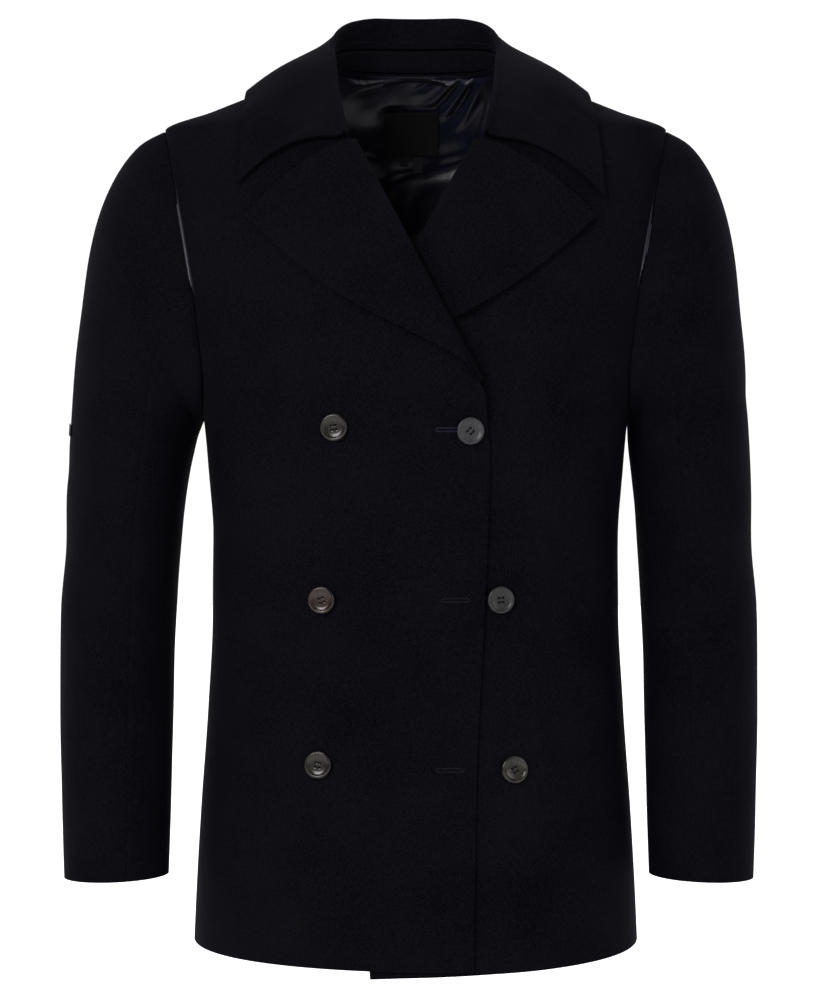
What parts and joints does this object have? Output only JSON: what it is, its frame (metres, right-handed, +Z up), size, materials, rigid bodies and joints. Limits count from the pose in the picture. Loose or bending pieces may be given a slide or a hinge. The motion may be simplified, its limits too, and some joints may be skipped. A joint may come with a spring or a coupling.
{
  "type": "pea coat",
  "caption": "Double-breasted wool pea coat in its worn, hollow form, with a wide turned-down collar, broad lapels, set-in sleeves, a satin back lining and round horn-like buttons.",
  "frame": {"origin": "middle of the neck base, where the wearer's neck and shoulders carry the coat", "axes": "+Z up along the body, the front towards -Y, the wearer's right towards -X"},
  "size_m": [0.6086, 0.2652, 0.8319],
  "materials": {
    "wool": "napped melton, matte",
    "satin": "smooth lining satin with a soft shine",
    "label": "woven tape",
    "horn": "dark horn-like resin, polished"
  },
  "bodies": {
    "root": {"front_right": "wool", "front_left": "wool", "back": "wool", "lapel_right": "wool", "lapel_left": "wool", "collar_stand": "wool", "collar_leaf": "wool", "top_sleeve_right": "wool", "under_sleeve_right": "wool", "top_sleeve_left": "wool", "under_sleeve_left": "wool", "sleeve_tab": "label", "back_lining": "satin", "hanger_loop": "wool", "neck_label": "label", "size_tab_right": "label", "size_tab_left": "label", "button_outer_top": "horn", "button_outer_middle": "horn", "button_outer_bottom": "horn", "button_inner_top": "horn", "button_inner_middle": "horn", "button_inner_bottom": "horn"}
  },
  "joints": []
}
